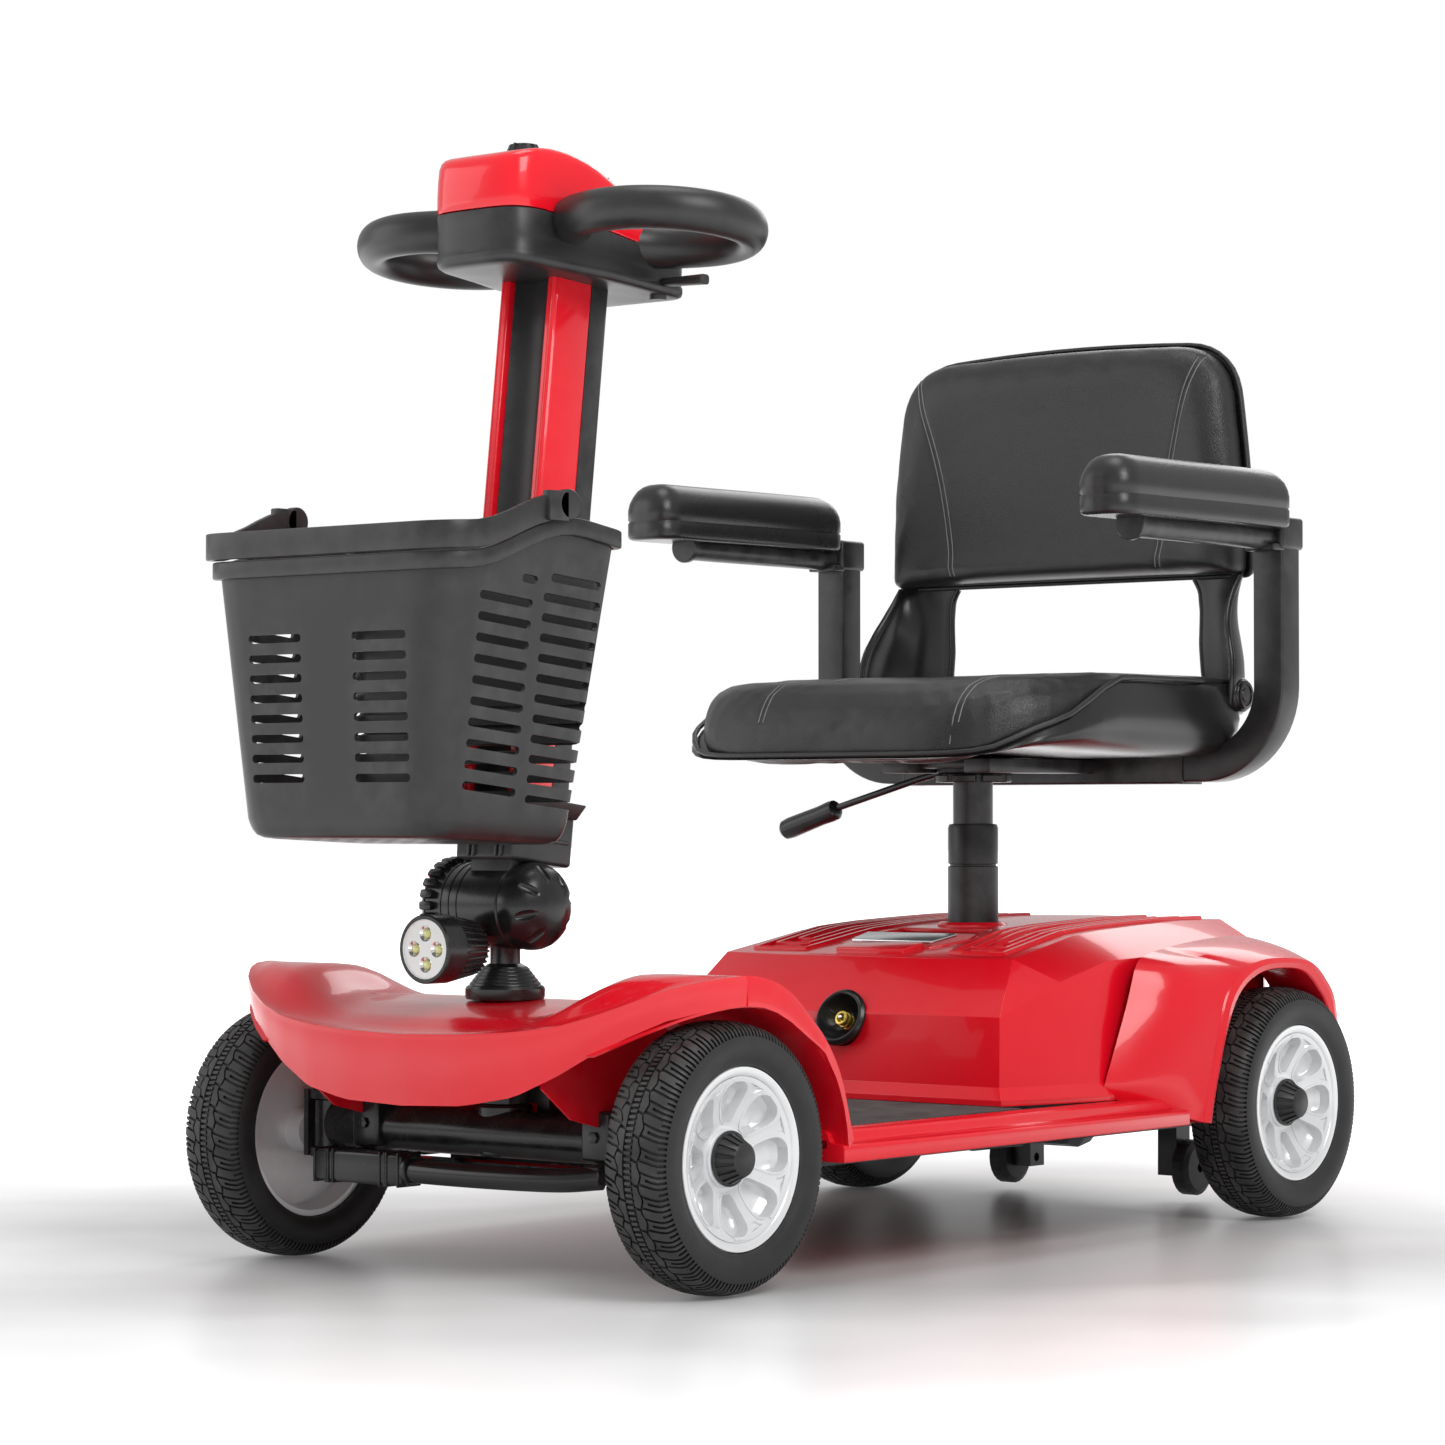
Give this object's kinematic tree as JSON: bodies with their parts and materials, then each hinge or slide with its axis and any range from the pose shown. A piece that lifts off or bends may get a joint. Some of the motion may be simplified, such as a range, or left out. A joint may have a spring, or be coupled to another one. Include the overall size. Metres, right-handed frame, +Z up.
{
  "type": "mobility scooter",
  "caption": "Travel mobility scooter with a folding tiller, closed-loop handles, front basket, swivel seat with flip-up armrests and gloss red body shells.",
  "frame": {"origin": "on the floor under the middle of the scooter", "axes": "+Z up, the scooter faces -Y, its rider's left is +X"},
  "size_m": [0.54, 1.059, 0.866],
  "materials": {
    "red_shell": "gloss",
    "floor_rubber": "ribbed",
    "black_frame": "satin",
    "moulded_black": "matt",
    "satin_black": "satin",
    "vinyl": "fine grain",
    "tyre": "matt",
    "rim_silver": "gloss",
    "steel": "bright",
    "casing": "satin",
    "lamp_lens": "clear"
  },
  "bodies": {
    "chassis": {"main_frame": "black_frame", "front_shell": "red_shell", "floor_mat": "floor_rubber", "rear_shell": "red_shell", "front_axle_beam": "black_frame", "front_bumper_bar": "black_frame", "transaxle": "casing", "drive_motor": "casing", "battery_pack": "casing", "controller_box": "casing", "charge_socket": "moulded_black", "column_collar": "moulded_black", "seat_socket_tube": "black_frame"},
    "steering": {"steering_yoke": "satin_black", "ratchet_cap": "moulded_black"},
    "tiller": {"tiller_bracket": "satin_black", "tiller_core": "satin_black", "tiller_trim_left": "red_shell", "tiller_trim_right": "red_shell", "console_base": "moulded_black", "console_cover": "red_shell", "handle_loop_left": "moulded_black", "handle_loop_right": "moulded_black", "basket": "moulded_black"},
    "clamp_knob": {"tiller_knob": "satin_black"},
    "headlight": {"headlight_body": "moulded_black", "headlight_lens": "lamp_lens"},
    "throttle": {"throttle_lever": "moulded_black"},
    "dial": {"speed_dial": "moulded_black"},
    "key": {"key_switch": "steel"},
    "horn": {"horn_button": "red_shell"},
    "basket_bail": {"basket_handle": "moulded_black"},
    "knuckle_l": {"knuckle_left": "steel"},
    "knuckle_r": {"knuckle_right": "steel"},
    "tie": {"track_rod": "steel"},
    "wheel_fl": {"tyre_front_left": "tyre", "rim_front_left": "rim_silver"},
    "wheel_fr": {"tyre_front_right": "tyre", "rim_front_right": "rim_silver"},
    "wheel_rl": {"tyre_rear_left": "tyre", "rim_rear_left": "rim_silver"},
    "wheel_rr": {"tyre_rear_right": "tyre", "rim_rear_right": "rim_silver"},
    "tip_l": {"anti_tip_wheel_left": "tyre"},
    "tip_r": {"anti_tip_wheel_right": "tyre"},
    "freewheel": {"freewheel_lever": "red_shell"},
    "post": {"seat_post_inner": "black_frame"},
    "seat": {"seat_cross_tube": "black_frame", "seat_pan": "moulded_black", "seat_cushion": "vinyl"},
    "height_lever": {"seat_lever": "moulded_black"},
    "backrest": {"backrest_shell": "moulded_black", "backrest_cushion": "vinyl"},
    "arm_l": {"arm_frame_left": "black_frame"},
    "arm_r": {"arm_frame_right": "black_frame"},
    "pad_l": {"arm_tube_left": "black_frame", "arm_pad_left": "moulded_black"},
    "pad_r": {"arm_tube_right": "black_frame", "arm_pad_right": "moulded_black"}
  },
  "joints": [
    {"name": "steer", "type": "hinge", "parent": "chassis", "child": "steering", "pos_m": [0, -0.31, 0.2], "axis": [0, 0, 1], "range_deg": [-22, 22]},
    {"name": "knuckle_left_turn", "type": "hinge", "parent": "chassis", "child": "knuckle_l", "pos_m": [0.178, -0.32, 0.1], "axis": [0, 0, 1], "range_deg": [-22, 22]},
    {"name": "knuckle_right_turn", "type": "hinge", "parent": "chassis", "child": "knuckle_r", "pos_m": [-0.178, -0.32, 0.1], "axis": [0, 0, 1], "range_deg": [-22, 22]},
    {"name": "track_rod_pivot", "type": "hinge", "parent": "knuckle_l", "child": "tie", "pos_m": [0.178, -0.265, 0.074], "axis": [0, 0, 1], "range_deg": [-22, 22]},
    {"name": "wheel_front_left_spin", "type": "hinge", "parent": "knuckle_l", "child": "wheel_fl", "pos_m": [0.216, -0.32, 0.1], "axis": [1, 0, 0], "continuous": true},
    {"name": "wheel_front_right_spin", "type": "hinge", "parent": "knuckle_r", "child": "wheel_fr", "pos_m": [-0.216, -0.32, 0.1], "axis": [1, 0, 0], "continuous": true},
    {"name": "wheel_rear_left_spin", "type": "hinge", "parent": "chassis", "child": "wheel_rl", "pos_m": [0.225, 0.436, 0.1], "axis": [1, 0, 0], "continuous": true},
    {"name": "wheel_rear_right_spin", "type": "hinge", "parent": "chassis", "child": "wheel_rr", "pos_m": [-0.225, 0.436, 0.1], "axis": [1, 0, 0], "continuous": true},
    {"name": "tiller_fold", "type": "hinge", "parent": "steering", "child": "tiller", "pos_m": [0, -0.31, 0.28], "axis": [-1, 0, 0], "range_deg": [0, 35]},
    {"name": "clamp_knob_turn", "type": "hinge", "parent": "steering", "child": "clamp_knob", "pos_m": [0.055, -0.31, 0.28], "axis": [1, 0, 0], "continuous": true},
    {"name": "headlight_tilt", "type": "hinge", "parent": "steering", "child": "headlight", "pos_m": [0, -0.348, 0.249], "axis": [1, 0, 0], "range_deg": [-12, 12]},
    {"name": "throttle", "type": "hinge", "parent": "tiller", "child": "throttle", "pos_m": [0.048, -0.186, 0.766], "axis": [0, 0, 1], "range_deg": [-18, 18], "stiffness_Nm_per_rad": 0.05},
    {"name": "speed_dial_turn", "type": "hinge", "parent": "tiller", "child": "dial", "pos_m": [0, -0.29, 0.855], "axis": [0, 0, 1], "range_deg": [-135, 135]},
    {"name": "key_turn", "type": "hinge", "parent": "tiller", "child": "key", "pos_m": [0.024, -0.222, 0.82], "axis": [0, 0, -1], "range_deg": [0, 90]},
    {"name": "horn_press", "type": "slide", "parent": "tiller", "child": "horn", "axis": [0, 0, -1], "range_m": [0, 0.003], "stiffness_N_per_m": 300},
    {"name": "basket_handle_swing", "type": "hinge", "parent": "tiller", "child": "basket_bail", "pos_m": [0, -0.398, 0.566], "axis": [-1, 0, 0], "range_deg": [0, 90]},
    {"name": "seat_swivel", "type": "hinge", "parent": "post", "child": "seat", "pos_m": [0, 0.302, 0.388], "axis": [0, 0, 1], "range_deg": [-180, 180]},
    {"name": "seat_height", "type": "slide", "parent": "chassis", "child": "post", "axis": [0, 0, 1], "range_m": [0, 0.05]},
    {"name": "seat_lever_lift", "type": "hinge", "parent": "seat", "child": "height_lever", "pos_m": [-0.04, 0.302, 0.387], "axis": [0, 1, 0], "range_deg": [0, 12], "stiffness_Nm_per_rad": 0.8},
    {"name": "backrest_fold", "type": "hinge", "parent": "seat", "child": "backrest", "pos_m": [0, 0.423, 0.454], "axis": [1, 0, 0], "range_deg": [0, 51]},
    {"name": "arm_left_width", "type": "slide", "parent": "seat", "child": "arm_l", "axis": [1, 0, 0], "range_m": [0, 0.04]},
    {"name": "arm_right_width", "type": "slide", "parent": "seat", "child": "arm_r", "axis": [-1, 0, 0], "range_m": [0, 0.04]},
    {"name": "arm_left_flip", "type": "hinge", "parent": "arm_l", "child": "pad_l", "pos_m": [0.239, 0.42, 0.585], "axis": [-1, 0, 0], "range_deg": [0, 90]},
    {"name": "arm_right_flip", "type": "hinge", "parent": "arm_r", "child": "pad_r", "pos_m": [-0.239, 0.42, 0.585], "axis": [-1, 0, 0], "range_deg": [0, 90]},
    {"name": "freewheel_turn", "type": "hinge", "parent": "chassis", "child": "freewheel", "pos_m": [0.026, 0.5, 0.12], "axis": [1, 0, 0], "range_deg": [0, 45]},
    {"name": "tip_left_spin", "type": "hinge", "parent": "chassis", "child": "tip_l", "pos_m": [0.1, 0.5, 0.032], "axis": [1, 0, 0], "continuous": true},
    {"name": "tip_right_spin", "type": "hinge", "parent": "chassis", "child": "tip_r", "pos_m": [-0.1, 0.5, 0.032], "axis": [1, 0, 0], "continuous": true}
  ],
  "couplings": [
    {"joint": "knuckle_left_turn", "follows": "steer", "ratio": 1},
    {"joint": "knuckle_right_turn", "follows": "steer", "ratio": 1},
    {"joint": "track_rod_pivot", "follows": "steer", "ratio": -1}
  ]
}
